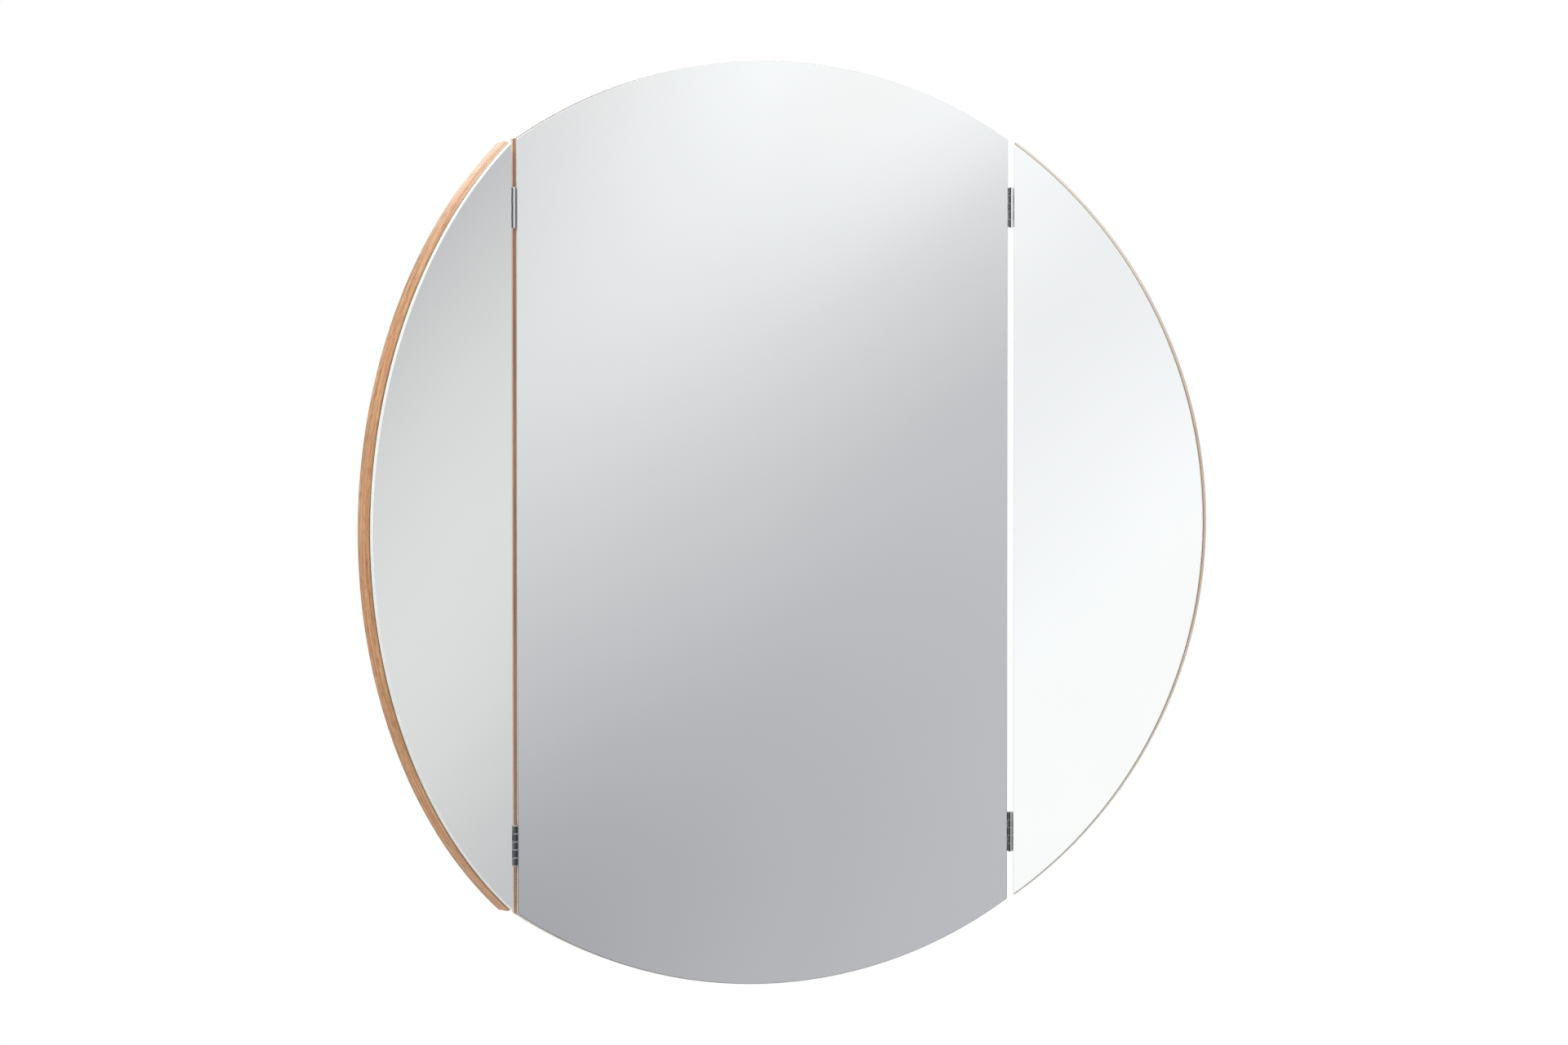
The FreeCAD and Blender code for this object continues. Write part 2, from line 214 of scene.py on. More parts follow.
polished_edge = edge_finish("polished_glass_edge", srgb(230, 239, 234), srgb(246, 249, 246), 70, 0.08, 0.2)
gloss = polished_edge.node_tree.nodes["Principled BSDF"].inputs
gloss["Coat Weight"].default_value = 1.0
gloss["Coat Roughness"].default_value = 0.05
arris_tones = srgb(214, 220, 218), srgb(236, 240, 238)
center_arris = edge_finish("center_glass_arris", *arris_tones, 400, 0.3, 0.5, BOTTOM_SHADE_TONE)
wing_arris = edge_finish("wing_glass_arris", srgb(222, 228, 225), srgb(244, 247, 245), 400, 0.3, 0.5)
back_paint = edge_finish("mirror_back_paint", srgb(116, 122, 126), srgb(134, 139, 142), 120, 0.45, 0.6)
print("finishes:", polished_edge.name, center_arris.name, wing_arris.name, back_paint.name)

# %% [markdown]
# ## Mirror glass: shape
# Each pane starts as one flat round face. Slicing it with a straight cut, as a glazier does, leaves the
# outline; extruding the face gives it thickness, and a fine bevel along every edge makes the arris. A
# cylinder with a boolean would give the same outline, but slicing a flat face keeps the mesh clean and
# the arc smooth.

# %% Sizes of the panels, in metres
CENTER_RADIUS = 0.350
CENTER_HALF = 0.195
WING_INNER = 0.1984
WING_REACH = 0.3454
WING_TIP = math.sqrt(CENTER_RADIUS ** 2 - WING_INNER ** 2)
WING_WIDTH = WING_REACH - WING_INNER
WING_RADIUS = (WING_TIP ** 2 + WING_WIDTH ** 2) / (2 * WING_WIDTH)
WING_MIDDLE = WING_REACH - WING_RADIUS
BOARD_THICKNESS = 0.012
GLASS_BACK = -0.0124
GLASS_THICKNESS = 0.003
GLASS_SETBACK = 0.00045
GLASS_ARRIS = 0.0004
HINGE_AXIS = Vector((0.1967, -0.016, 0))
WING_SWING = math.radians(30)
ROUND_STEPS = 720
print("wing arc radius:", round(WING_RADIUS, 4), "m")


# %% Helpers for modelling by hand
def start_piece(name):
    """Names the new primitive and moves its place and turn into its mesh."""
    piece = bpy.context.object
    piece.name = piece.data.name = name
    bpy.ops.object.transform_apply(location=True, rotation=True, scale=True)
    bpy.ops.object.mode_set(mode="EDIT")
    return piece


def slice_away(place, outward, fill=False):
    """Cuts the whole mesh with a plane and drops what lies on its outward side."""
    bpy.ops.mesh.select_all(action="SELECT")
    bpy.ops.mesh.bisect(plane_co=place, plane_no=outward, clear_outer=True, use_fill=fill)


def select_edges(wanted):
    """Selects just the edges whose two ends pass the test."""
    bpy.ops.mesh.select_mode(type="EDGE")
    bpy.ops.mesh.select_all(action="DESELECT")
    form = bmesh.from_edit_mesh(bpy.context.object.data)
    for edge in form.edges:
        edge.select_set(wanted(edge.verts[0].co, edge.verts[1].co))
    bmesh.update_edit_mesh(bpy.context.object.data)


def face_outwards():
    bpy.ops.mesh.select_all(action="SELECT")
    bpy.ops.mesh.normals_make_consistent(inside=False)


def end_piece(angle=30):
    """Leaves edit mode with faces smooth except across corners sharper than the angle in degrees."""
    bpy.ops.object.mode_set(mode="OBJECT")
    bpy.ops.object.shade_smooth_by_angle(angle=math.radians(angle))


print("modelling helpers ready")


# %% One pane: slice, thicken, ease the edges, give each face its finish
GLASS_CORNER = 20
FACING = 0.9
SIDEWAYS = 0.3


def pane_finish(depth):
    """Finish by how far a face's normal points to the wall: silver, edge, arris or back paint."""
    if depth < -FACING:
        return 0
    if depth > FACING:
        return 3
    return 1 if abs(depth) < SIDEWAYS else 2


def pane(name, middle_x, radius, cuts, arris):
    bpy.ops.object.select_all(action="DESELECT")
    bpy.ops.mesh.primitive_circle_add(
        vertices=ROUND_STEPS, radius=radius - GLASS_SETBACK, fill_type="NGON",
        location=(middle_x, GLASS_BACK, 0), rotation=(math.pi / 2, 0, 0))
    piece = start_piece(name)
    for x, outward in cuts:
        slice_away((x, 0, 0), (outward, 0, 0))
    bpy.ops.mesh.select_all(action="SELECT")
    bpy.ops.mesh.extrude_region_move(TRANSFORM_OT_translate={"value": (0, -GLASS_THICKNESS, 0)})
    face_outwards()
    select_edges(lambda a, b: abs(a.y - b.y) < GLASS_THICKNESS / 2)
    bpy.ops.mesh.bevel(offset=GLASS_ARRIS, segments=1, affect="EDGES")
    end_piece(GLASS_CORNER)
    for finish in (silver, polished_edge, arris, back_paint):
        piece.data.materials.append(finish)
    for face in piece.data.polygons:
        face.material_index = pane_finish(face.normal.y)
    return piece


glass_half = CENTER_HALF - GLASS_SETBACK
both_sides = [(glass_half, 1), (-glass_half, -1)]
hinge_side = [(WING_INNER + GLASS_SETBACK, -1)]
center_pane = pane("center_pane", 0, CENTER_RADIUS, both_sides, center_arris)
right_pane = pane("right_wing_pane", WING_MIDDLE, WING_RADIUS, hinge_side, wing_arris)
for glass in (center_pane, right_pane):
    print(glass.name, "faces:", len(glass.data.polygons))


# %% Swing a wing piece forward, and make its left-hand twin
def swung_forward(piece):
    """Turns a flat right-hand piece about the hinge axis, inside its mesh."""
    bpy.ops.object.select_all(action="DESELECT")
    bpy.context.view_layer.objects.active = piece
    piece.select_set(True)
    bpy.ops.object.mode_set(mode="EDIT")
    bpy.ops.mesh.select_all(action="SELECT")
    bpy.ops.transform.rotate(value=WING_SWING, orient_axis="Z", center_override=HINGE_AXIS)
    bpy.ops.object.mode_set(mode="OBJECT")


def left_twin(piece, name):
    """Mirror image with a mesh of its own, its faces turned outwards again."""
    bpy.ops.object.select_all(action="DESELECT")
    twin = piece.copy()
    twin.data = piece.data.copy()
    twin.name = twin.data.name = name
    bpy.context.scene.collection.objects.link(twin)
    bpy.context.view_layer.objects.active = twin
    twin.select_set(True)
    bpy.ops.object.mode_set(mode="EDIT")
    bpy.ops.mesh.select_all(action="SELECT")
    bpy.ops.transform.resize(value=(-1, 1, 1), center_override=(0, 0, 0))
    face_outwards()
    bpy.ops.object.mode_set(mode="OBJECT")
    return twin


swung_forward(right_pane)
left_pane = left_twin(right_pane, "left_wing_pane")


def stand_in(piece, body, node):
    """Lets a piece take a solid's place, and measures how far the two boxes differ."""
    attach(piece, body)
    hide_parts(node)
    low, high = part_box(node)
    places = [vertex.co for vertex in piece.data.vertices]
    below = [abs(low[axis] - min(place[axis] for place in places)) for axis in range(3)]
    above = [abs(high[axis] - max(place[axis] for place in places)) for axis in range(3)]
    print(piece.name, "departs from its solid by", round(max(below + above) * 1000, 3), "mm")


stand_in(center_pane, "center", "center_mirror")
stand_in(left_pane, "left_wing", "left_wing_mirror")
stand_in(right_pane, "right_wing", "right_wing_mirror")

# %% [markdown]
# ## Wooden edging: finish
# The edging is a thin strip of lacquered brown wood with its grain running along the strip. Streaks a
# millimetre or two wide change from straw to red-brown, and fine pores show as short dark dashes. The
# two rims, where board and lacquer meet, have tones that change along the strip: darker wood on the
# left wing, painted pale at its upper end as a painted highlight, a thin line on the right one that
# turns grey towards both ends, where the right strip's wood is painted pale as a painted highlight,
# and on the middle panel's arcs a pale painted highlight that turns into a grey painted shadow line at
# the top left. On bent strips the grain must follow the bend, so it reads a map of the strip laid
# straight.

# %% Tones of the strips and of their rims
STRIP_LIGHT = srgb(226, 180, 132)
STRIP_MID = srgb(200, 149, 102)
STRIP_DARK = srgb(160, 104, 60)
STRIP_RED = srgb(196, 118, 74)
STRIP_FLECK = srgb(136, 84, 48)
STRIP_PORE = srgb(98, 56, 30)
# Pale tone painted over the wood as a painted highlight, at strip ends and towards the wall
STRIP_HIGHLIGHT = srgb(250, 238, 224)
# Multiplier that darkens the upright strips as painted shade in the gaps between panels
STRIP_GAP_SHADE = (0.84, 0.75, 0.62)
# A rim has a first and a last tone, metres along the strip where it turns, and a share over the wood
# The left rim turns pale at its upper end as a painted highlight
LEFT_RIM_AND_HIGHLIGHT = (srgb(166, 122, 82), srgb(238, 208, 172), 0.2, 0.32, 0.6)
RIGHT_RIM = (srgb(150, 128, 88), srgb(162, 161, 144), 0.05, 0.26, 0.9)
# The arches' rim is a pale painted highlight that turns into a grey painted shadow line at the top left
ARCH_RIM_HIGHLIGHT_AND_SHADE = (srgb(244, 241, 236), srgb(150, 148, 144), 0.6, 0.7, 0.92)
SIDE_RIM = (srgb(206, 172, 140), srgb(206, 172, 140), 0.0, 1.0, 0.6)
# The wings' inner strips get a near-white rim as a painted highlight
INNER_RIM_HIGHLIGHT = (srgb(250, 242, 230), srgb(250, 242, 230), 0.0, 1.0, 0.95)
RIM_BEGINS = BOARD_THICKNESS * 0.38
RIM_FULL = BOARD_THICKNESS * 0.48
# Painted highlight on a strip's ends: where it begins and is full, its share there and in the middle
ENDS_FROM = 0.05
ENDS_FULL = 0.26
ENDS_HIGHLIGHT = 0.65
MIDDLE_HIGHLIGHT = 0.15
# Painted highlight towards the wall on upright strips: where it is full, and its share
REAR_HIGHLIGHT_FULL = 0.001
REAR_HIGHLIGHT_SHARE = 0.95
WING_LACQUER = 0.4
ARCH_LACQUER = 1.0
SIDE_LACQUER = 0.15
print("rims are", round((BOARD_THICKNESS / 2 - RIM_BEGINS) * 1000, 2), "mm wide")


# %% Wood with its grain along the strip
def edging_finish(name, make_place, lacquer, rim, upright=False, highlight_ends=0.0):
    """Strip wood. The place runs along the strip in x and across it, from its middle, in y."""
    material, tree, shader = new_finish(name)
    place = make_place(tree)
    streak = noise_on(tree, place, (12, 640, 90), 5.0)
    wood = ramp_of(tree, streak, [(0.32, STRIP_DARK), (0.5, STRIP_MID), (0.66, STRIP_LIGHT)])
    patch = eased(tree, noise_on(tree, place, (11, 160, 40), 2.0), 0.48, 0.72, 0.0, 0.5)
    wood = mixed(tree, patch, wood, (*STRIP_RED, 1))
    fleck = noise_on(tree, place, (120, 900, 300), 2.0)
    wood = mixed(tree, eased(tree, fleck, 0.54, 0.68, 0.0, 0.55), wood, (*STRIP_FLECK, 1))
    wood = mixed(tree, eased(tree, fleck, 0.46, 0.32, 0.0, 0.4), wood, (*STRIP_LIGHT, 1))
    pore = noise_on(tree, place, (90, 2600, 400), 2.0)
    wood = mixed(tree, eased(tree, pore, 0.6, 0.74, 0.0, 0.5), wood, (*STRIP_PORE, 1))
    along, across = add_node(tree, "ShaderNodeSeparateXYZ", {0: place}).outputs[:2]
    from_middle = add_node(tree, "ShaderNodeMath", {0: across}, operation="ABSOLUTE").outputs[0]
    # Painted shade: upright strips are darkened all over, as in the gaps between panels
    if upright:
        wood = mixed(tree, 1.0, wood, (*STRIP_GAP_SHADE, 1), "MULTIPLY")
    # Painted highlight: the wood turns pale towards both ends of the strip
    if highlight_ends:
        along = add_node(tree, "ShaderNodeMath", {0: along}, operation="ABSOLUTE").outputs[0]
        fade = eased(tree, along, ENDS_FROM, ENDS_FULL, MIDDLE_HIGHLIGHT, highlight_ends)
        wood = mixed(tree, fade, wood, (*STRIP_HIGHLIGHT, 1))
    # Rim tones, some of them painted highlights and painted shade
    low_tone, high_tone, begins, reaches, share = rim
    upwards = eased(tree, along, begins, reaches, 0.0, 1.0)
    rim_tone = mixed(tree, upwards, (*low_tone, 1), (*high_tone, 1))
    at_rim = eased(tree, from_middle, RIM_BEGINS, RIM_FULL, 0.0, share)
    wood = mixed(tree, at_rim, wood, rim_tone)
    # Painted highlight: upright strips turn pale towards the wall
    if upright:
        rear = eased(tree, across, 0.0, REAR_HIGHLIGHT_FULL, 0.0, REAR_HIGHLIGHT_SHARE)
        wood = mixed(tree, rear, wood, (*STRIP_HIGHLIGHT, 1))
    tree.links.new(wood, shader.inputs["Base Color"])
    tree.links.new(eased(tree, streak, 0.3, 0.7, 0.42, 0.3), shader.inputs["Roughness"])
    shader.inputs["Specular IOR Level"].default_value = 0.4
    shader.inputs["Coat Weight"].default_value = lacquer
    shader.inputs["Coat Roughness"].default_value = 0.12
    bumped(tree, shader, pore, 0.25, 0.0002)
    return material


def strip_map(tree):
    """Place on a bent strip, read from its own map."""
    return add_node(tree, "ShaderNodeUVMap", {}, uv_map="strip").outputs[0]


left_edging = edging_finish("left_rim_wood", strip_map, WING_LACQUER, LEFT_RIM_AND_HIGHLIGHT)
right_edging = edging_finish("right_rim_wood", strip_map, WING_LACQUER, RIGHT_RIM, highlight_ends=ENDS_HIGHLIGHT)
arch_edging = edging_finish("center_arch_wood", strip_map, ARCH_LACQUER, ARCH_RIM_HIGHLIGHT_AND_SHADE)
print("finishes:", left_edging.name, right_edging.name, arch_edging.name)

# %% [markdown]
# ## Wooden edging: bent strips
# The bent strips on the arcs are what catches the eye, so they are modelled anew with a perfectly round
# bend. A round line is extruded to the board's thickness, thickened inwards, cut to its length with
# flat ends, and its outer corners are rounded as by a few strokes of sandpaper. The map that the grain
# follows is the bend unrolled.

# %% One bent strip
STRIP_THICKNESS = 0.0008
STRIP_SOFTENING = 0.0004
SOFTENING_STEPS = 3
LEVEL = 0.0001


def on_outer_corner(a, b, middle_x, radius):
    """True for an edge that runs along one of the strip's two outer corners."""
    reach = [math.hypot(point.x - middle_x, point.z) for point in (a, b)]
    return abs(a.y - b.y) < LEVEL and min(reach) > radius - STRIP_THICKNESS / 2


def unroll(piece, middle_x, radius):
    """Writes the map: metres along the bend, and metres across from the strip's middle."""
    layer = piece.data.uv_layers.new(name="strip")
    for loop in piece.data.loops:
        point = piece.data.vertices[loop.vertex_index].co
        along = math.atan2(point.z, point.x - middle_x) * radius
        across = point.y + BOARD_THICKNESS / 2
        layer.data[loop.index].uv = (along, across)


def bent_strip(name, middle_x, radius, cuts, finish):
    bpy.ops.object.select_all(action="DESELECT")
    bpy.ops.mesh.primitive_circle_add(
        vertices=ROUND_STEPS, radius=radius, location=(middle_x, 0, 0), rotation=(math.pi / 2, 0, 0))
    piece = start_piece(name)
    bpy.ops.mesh.select_all(action="SELECT")
    bpy.ops.mesh.extrude_region_move(TRANSFORM_OT_translate={"value": (0, -BOARD_THICKNESS, 0)})
    face_outwards()
    bpy.ops.object.mode_set(mode="OBJECT")
    wall = piece.modifiers.new("strip_thickness", "SOLIDIFY")
    wall.thickness = STRIP_THICKNESS
    wall.offset = -1
    bpy.ops.object.modifier_apply(modifier=wall.name)
    bpy.ops.object.mode_set(mode="EDIT")
    for place, outward in cuts:
        slice_away(place, outward, fill=True)
    select_edges(lambda a, b: on_outer_corner(a, b, middle_x, radius))
    bpy.ops.mesh.bevel(offset=STRIP_SOFTENING, segments=SOFTENING_STEPS, affect="EDGES")
    face_outwards()
    end_piece()
    unroll(piece, middle_x, radius)
    piece.data.materials.append(finish)
    print(name, "faces:", len(piece.data.polygons))
    return piece


print("bent strip helper ready")

# %% The four bent strips
side_cut = CENTER_HALF - STRIP_THICKNESS
sides = [((side_cut, 0, 0), (1, 0, 0)), ((-side_cut, 0, 0), (-1, 0, 0))]
upper_half = ((0, 0, 0), (0, 0, -1))
lower_half = ((0, 0, 0), (0, 0, 1))
wing_cut = ((WING_INNER + STRIP_THICKNESS, 0, 0), (-1, 0, 0))
top_strip = bent_strip("center_top_strip", 0, CENTER_RADIUS, sides + [upper_half], arch_edging)
bottom_strip = bent_strip("center_bottom_strip", 0, CENTER_RADIUS, sides + [lower_half], arch_edging)
right_rim = bent_strip("right_wing_rim_strip", WING_MIDDLE, WING_RADIUS, [wing_cut], right_edging)
swung_forward(right_rim)
left_rim = left_twin(right_rim, "left_wing_rim_strip")
left_rim.data.materials[0] = left_edging
stand_in(top_strip, "center", "center_top_edge_band")
stand_in(bottom_strip, "center", "center_bottom_edge_band")
stand_in(left_rim, "left_wing", "left_wing_rim_edge_band")
stand_in(right_rim, "right_wing", "right_wing_rim_edge_band")

# %% [markdown]
# ## Wooden edging: straight strips, and the boards
# The upright strips are flat, so the solid model's own pieces already have the right shape and only
# need the wood. Their grain runs up along z. Their wood is darkened all over as painted shade in the
# gaps, and painted pale towards the wall as a painted highlight; the wings' strips also get a near-white
# rim as a painted highlight. A wing's strip is turned with the wing, so a Mapping node turns the
# pattern's place back to the flat wing first. The boards behind are faced with a calmer veneer of the
# same wood.

# %% Finish for straight strips
def upright_place(turn):
    """Place on an upright strip whose wing stands turned by this angle about its hinge."""
    def make_place(tree):
        side = -1 if turn > 0 else 1
        axis = Vector((side * HINGE_AXIS.x, HINGE_AXIS.y, 0)) if turn else Vector()
        back = Matrix.Rotation(-turn, 3, "Z")
        shift = axis - back @ axis
        inputs = {"Vector": object_place(tree), "Location": shift, "Rotation": (0, 0, -turn)}
        flat = add_node(tree, "ShaderNodeMapping", inputs).outputs[0]
        axes = add_node(tree, "ShaderNodeSeparateXYZ", {0: flat}).outputs
        inputs = {0: axes[1], 1: BOARD_THICKNESS / 2}
        across = add_node(tree, "ShaderNodeMath", inputs, operation="ADD").outputs[0]
        return add_node(tree, "ShaderNodeCombineXYZ", {0: axes[2], 1: across, 2: axes[0]}).outputs[0]
    return make_place


straight_strips = {
    "center_left_edge_band": (0.0, SIDE_RIM),
    "center_right_edge_band": (0.0, SIDE_RIM),
    "left_wing_inner_edge_band": (WING_SWING, INNER_RIM_HIGHLIGHT),
    "right_wing_inner_edge_band": (-WING_SWING, INNER_RIM_HIGHLIGHT),
}
for name, (turn, rim) in straight_strips.items():
    finish = edging_finish(name + "_wood", upright_place(turn), SIDE_LACQUER, rim, upright=True)
    nodes[name].material_slots[0].material = finish
print("straight strips:", len(straight_strips))

# %% Veneer on the boards
veneer, tree, shader = new_finish("board_veneer_wood")
place = object_place(tree)
WANDER = 0.11
drift = noise_on(tree, place, (7, 7, 1.1), 2.0)
drift = add_node(tree, "ShaderNodeMath", {0: drift, 1: WANDER}, operation="MULTIPLY").outputs[0]
shift = add_node(tree, "ShaderNodeCombineXYZ", {0: drift}).outputs[0]
wandering = add_node(tree, "ShaderNodeVectorMath", {0: place, 1: shift}, operation="ADD").outputs[0]
figure = noise_on(tree, wandering, (150, 20, 0.9), 3.0)
bands = [(0.32, srgb(168, 118, 78)), (0.5, srgb(200, 150, 106)), (0.68, srgb(220, 178, 134))]
tone = ramp_of(tree, figure, bands)
fibre = noise_on(tree, place, (520, 520, 9), 4.0)
tone = mixed(tree, eased(tree, fibre, 0.35, 0.65, 0.0, 0.45), tone, (*srgb(172, 118, 76), 1))
pore = noise_on(tree, place, (1500, 1500, 55), 2.0)
tone = mixed(tree, eased(tree, pore, 0.6, 0.7, 0.0, 0.5), tone, (*srgb(116, 72, 42), 1))
tree.links.new(tone, shader.inputs["Base Color"])
tree.links.new(eased(tree, fibre, 0.3, 0.7, 0.55, 0.42), shader.inputs["Roughness"])
bumped(tree, shader, pore, 0.2, 0.0002)
for name in ("center_board", "left_wing_board", "right_wing_board"):
    nodes[name].material_slots[0].material = veneer
print("finish:", veneer.name)

# %% [markdown]
# ## Steel: hinges, pins, hanger plates and screws
# The small metal parts are stock hardware: bright drawn steel on the hinges, duller zinc on the hanger
# plates, and turned screws. Their solids stay, and only the finish changes. A fine noise that is
# stretched along one axis gives the drawn lines; the same noise drives roughness, because a scratch is
# first of all a change in polish. Every hinge barrel has painted reflections and shade of its own: the
# left ones are painted dark, the lower one darker, the upper one with a painted highlight along its
# front, and the right ones are painted bright but for a painted dark line. On the lower ones pale rings
# are painted where the knuckles meet.

# %% Places on a hinge barrel
BARREL_RADIUS = 0.0017
KNUCKLE_PITCH = 0.00604
FIRST_GAP = -0.00906
RING_CORE = 0.0002
RING_EDGE = 0.0008
RING_SHARE = 0.6


def gap_rings(tree, place, hinge_height):
    """A share at the gaps between a hinge's knuckles, falling to nothing less than a millimetre away."""
    height = add_node(tree, "ShaderNodeSeparateXYZ", {0: place}).outputs[2]
    inputs = {0: height, 1: hinge_height + FIRST_GAP}
    above = add_node(tree, "ShaderNodeMath", inputs, operation="SUBTRACT").outputs[0]
    inputs = {0: above, 1: KNUCKLE_PITCH / 2}
    away = add_node(tree, "ShaderNodeMath", inputs, operation="PINGPONG").outputs[0]
    return eased(tree, away, RING_CORE, RING_EDGE, RING_SHARE, 0.0)


def barrel_arm(tree, place):
    """The way from the nearest hinge axis to a place: out to the wing in x, in to the wall in y."""
    axes = add_node(tree, "ShaderNodeSeparateXYZ", {0: place}).outputs
    side = add_node(tree, "ShaderNodeMath", {0: axes[0]}, operation="ABSOLUTE").outputs[0]
    outwards = add_node(tree, "ShaderNodeMath", {0: side, 1: -HINGE_AXIS.x}, operation="ADD").outputs[0]
    inwards = add_node(tree, "ShaderNodeMath", {0: axes[1], 1: -HINGE_AXIS.y}, operation="ADD").outputs[0]
    arm = add_node(tree, "ShaderNodeCombineXYZ", {0: outwards, 1: inwards}).outputs[0]
    return outwards, arm


print("knuckle pitch:", KNUCKLE_PITCH, "m")

# %% Painted reflections and shade on a hinge barrel
# Pale tone for the rings at the knuckle gaps and for the painted highlight along a barrel's front
PALE_RING_AND_HIGHLIGHT = srgb(236, 236, 236)
FLANK_INNER = -0.0006
FLANK_OUTER = 0.0008
LINE_BEGINS = BARREL_RADIUS * 0.86
LINE_FULL = BARREL_RADIUS * 0.94
BARREL_ENDS = BARREL_RADIUS + 0.00005
LEAF_BEGINS = BARREL_RADIUS + 0.0002


def painted_barrel(tree, place, tone, hinge_height, inner, outer, line, line_way):
    """Flat leaves stay bright; a barrel gets painted reflections and shade: a tone for each flank, pale
    rings at its gaps and a front line.
    """
    outwards, arm = barrel_arm(tree, place)
    flank = eased(tree, outwards, FLANK_INNER, FLANK_OUTER, 0.0, 1.0)
    flanks = mixed(tree, flank, (*inner, 1), (*outer, 1))
    if hinge_height < 0:
        flanks = mixed(tree, gap_rings(tree, place, hinge_height), flanks, (*PALE_RING_AND_HIGHLIGHT, 1))
    # A painted line along the front: a pale highlight on the upper left, a dark shade line on the right
    if line:
        inputs = {0: arm, 1: line_way}
        front = add_node(tree, "ShaderNodeVectorMath", inputs, operation="DOT_PRODUCT").outputs["Value"]
        on_line = eased(tree, front, LINE_BEGINS, LINE_FULL, 0.0, 1.0)
        flanks = mixed(tree, on_line, flanks, (*line, 1))
    reach = add_node(tree, "ShaderNodeVectorMath", {0: arm}, operation="LENGTH").outputs["Value"]
    on_barrel = eased(tree, reach, BARREL_ENDS, LEAF_BEGINS, 1.0, 0.0)
    return mixed(tree, on_barrel, tone, flanks)


print("barrel wear ready")


# %% Drawn and plated steel
def steel_finish(name, dark, light, cells, low_rough, high_rough, shading=None):
    """Bright metal with lines drawn along the axis that has the fewest cells."""
    material, tree, shader = new_finish(name)
    place = object_place(tree)
    lines = noise_on(tree, place, cells, 3.0)
    darkening = noise_on(tree, place, (45, 45, 45), 3.0)
    tone = ramp_of(tree, lines, [(0.3, dark), (0.7, light)])
    tone = mixed(tree, eased(tree, darkening, 0.5, 0.75, 0.0, 0.35), tone, (*dark, 1))
    if shading:
        tone = painted_barrel(tree, place, tone, *shading)
    tree.links.new(tone, shader.inputs["Base Color"])
    tree.links.new(eased(tree, lines, 0.3, 0.7, low_rough, high_rough), shader.inputs["Roughness"])
    shader.inputs["Metallic"].default_value = 1.0
    bumped(tree, shader, lines, 0.04, 0.00005)
    return material


print("steel helper ready")

# %% Hinge steels: each barrel's height, painted inner tone, painted outer tone, painted line and the way the line faces
# Painted reflections and shade: dark flanks on the left, darker below, bright flanks on the right
UPPER_PAINTED_SHADE = srgb(122, 122, 124)
LOWER_PAINTED_SHADE = srgb(72, 72, 74)
LOWER_OUTER = srgb(112, 112, 114)
RIGHT_PAINTED_LIGHT = srgb(252, 252, 252)
RIGHT_OUTER = srgb(204, 204, 206)
UPPER_LINE = srgb(72, 72, 73)
LOWER_LINE = srgb(36, 36, 37)
LEFT_WAY = (0.4, -0.917, 0)
RIGHT_WAY = (-0.67, -0.742, 0)
HINGE_HEIGHT = 0.239
HINGE_SHADING = {
    "left_upper": (HINGE_HEIGHT, UPPER_PAINTED_SHADE, UPPER_PAINTED_SHADE, PALE_RING_AND_HIGHLIGHT, LEFT_WAY),
    "left_lower": (-HINGE_HEIGHT, LOWER_PAINTED_SHADE, LOWER_OUTER, None, None),
    "right_upper": (HINGE_HEIGHT, RIGHT_PAINTED_LIGHT, RIGHT_PAINTED_LIGHT, UPPER_LINE, RIGHT_WAY),
    "right_lower": (-HINGE_HEIGHT, RIGHT_PAINTED_LIGHT, RIGHT_OUTER, LOWER_LINE, RIGHT_WAY),
}
UPPER_POLISH = (0.05, 0.1)
LOWER_POLISH = (0.08, 0.15)
drawn = (2200, 2200, 120)
bright, clear = srgb(218, 219, 221), srgb(246, 246, 246)
hinge_steels = {}
for hinge, shading in HINGE_SHADING.items():
    polish = UPPER_POLISH if shading[0] > 0 else LOWER_POLISH
    hinge_steels[hinge] = steel_finish(hinge + "_hinge_steel", bright, clear, drawn, *polish, shading)
print("hinge steels:", sorted(hinge_steels))

# %% Steel of the pins, hanger plates and screws
fine = (900, 900, 900)
spangle = (260, 260, 260)
turned = (700, 700, 2400)
pin_tones = srgb(168, 168, 170), srgb(222, 222, 222)
zinc_tones = srgb(160, 165, 170), srgb(204, 208, 210)
screw_tones = srgb(150, 148, 142), srgb(205, 203, 196)
pin_steel = steel_finish("bright_pin_steel", *pin_tones, fine, 0.18, 0.3)
zinc = steel_finish("zinc_hanger_plate", *zinc_tones, spangle, 0.34, 0.5)
screw_steel = steel_finish("turned_screw_steel", *screw_tones, turned, 0.25, 0.4)
print("steel finishes:", pin_steel.name, zinc.name, screw_steel.name)

# %% Dress the steel pieces
dressed = 0
for name, node in nodes.items():
    finish = None
    if name.endswith("_leaf"):
        finish = hinge_steels["_".join(name.split("_")[:2])]
    elif name.endswith("_pin"):
        finish = pin_steel
    elif name.endswith("hanger_plate"):
        finish = zinc
    elif name.endswith("_screws"):
        finish = screw_steel
    if finish:
        node.material_slots[0].material = finish
        dressed += 1
print("steel pieces:", dressed)

# %% [markdown]
# ## Bonding tape
# Strips of thin foam tape hold each pane. Almost nothing of them shows, only a pale line between glass
# and wood, so the flat strips of the solid model stay. The foam is off-white with fine cells, made by
# one noise and some bump.

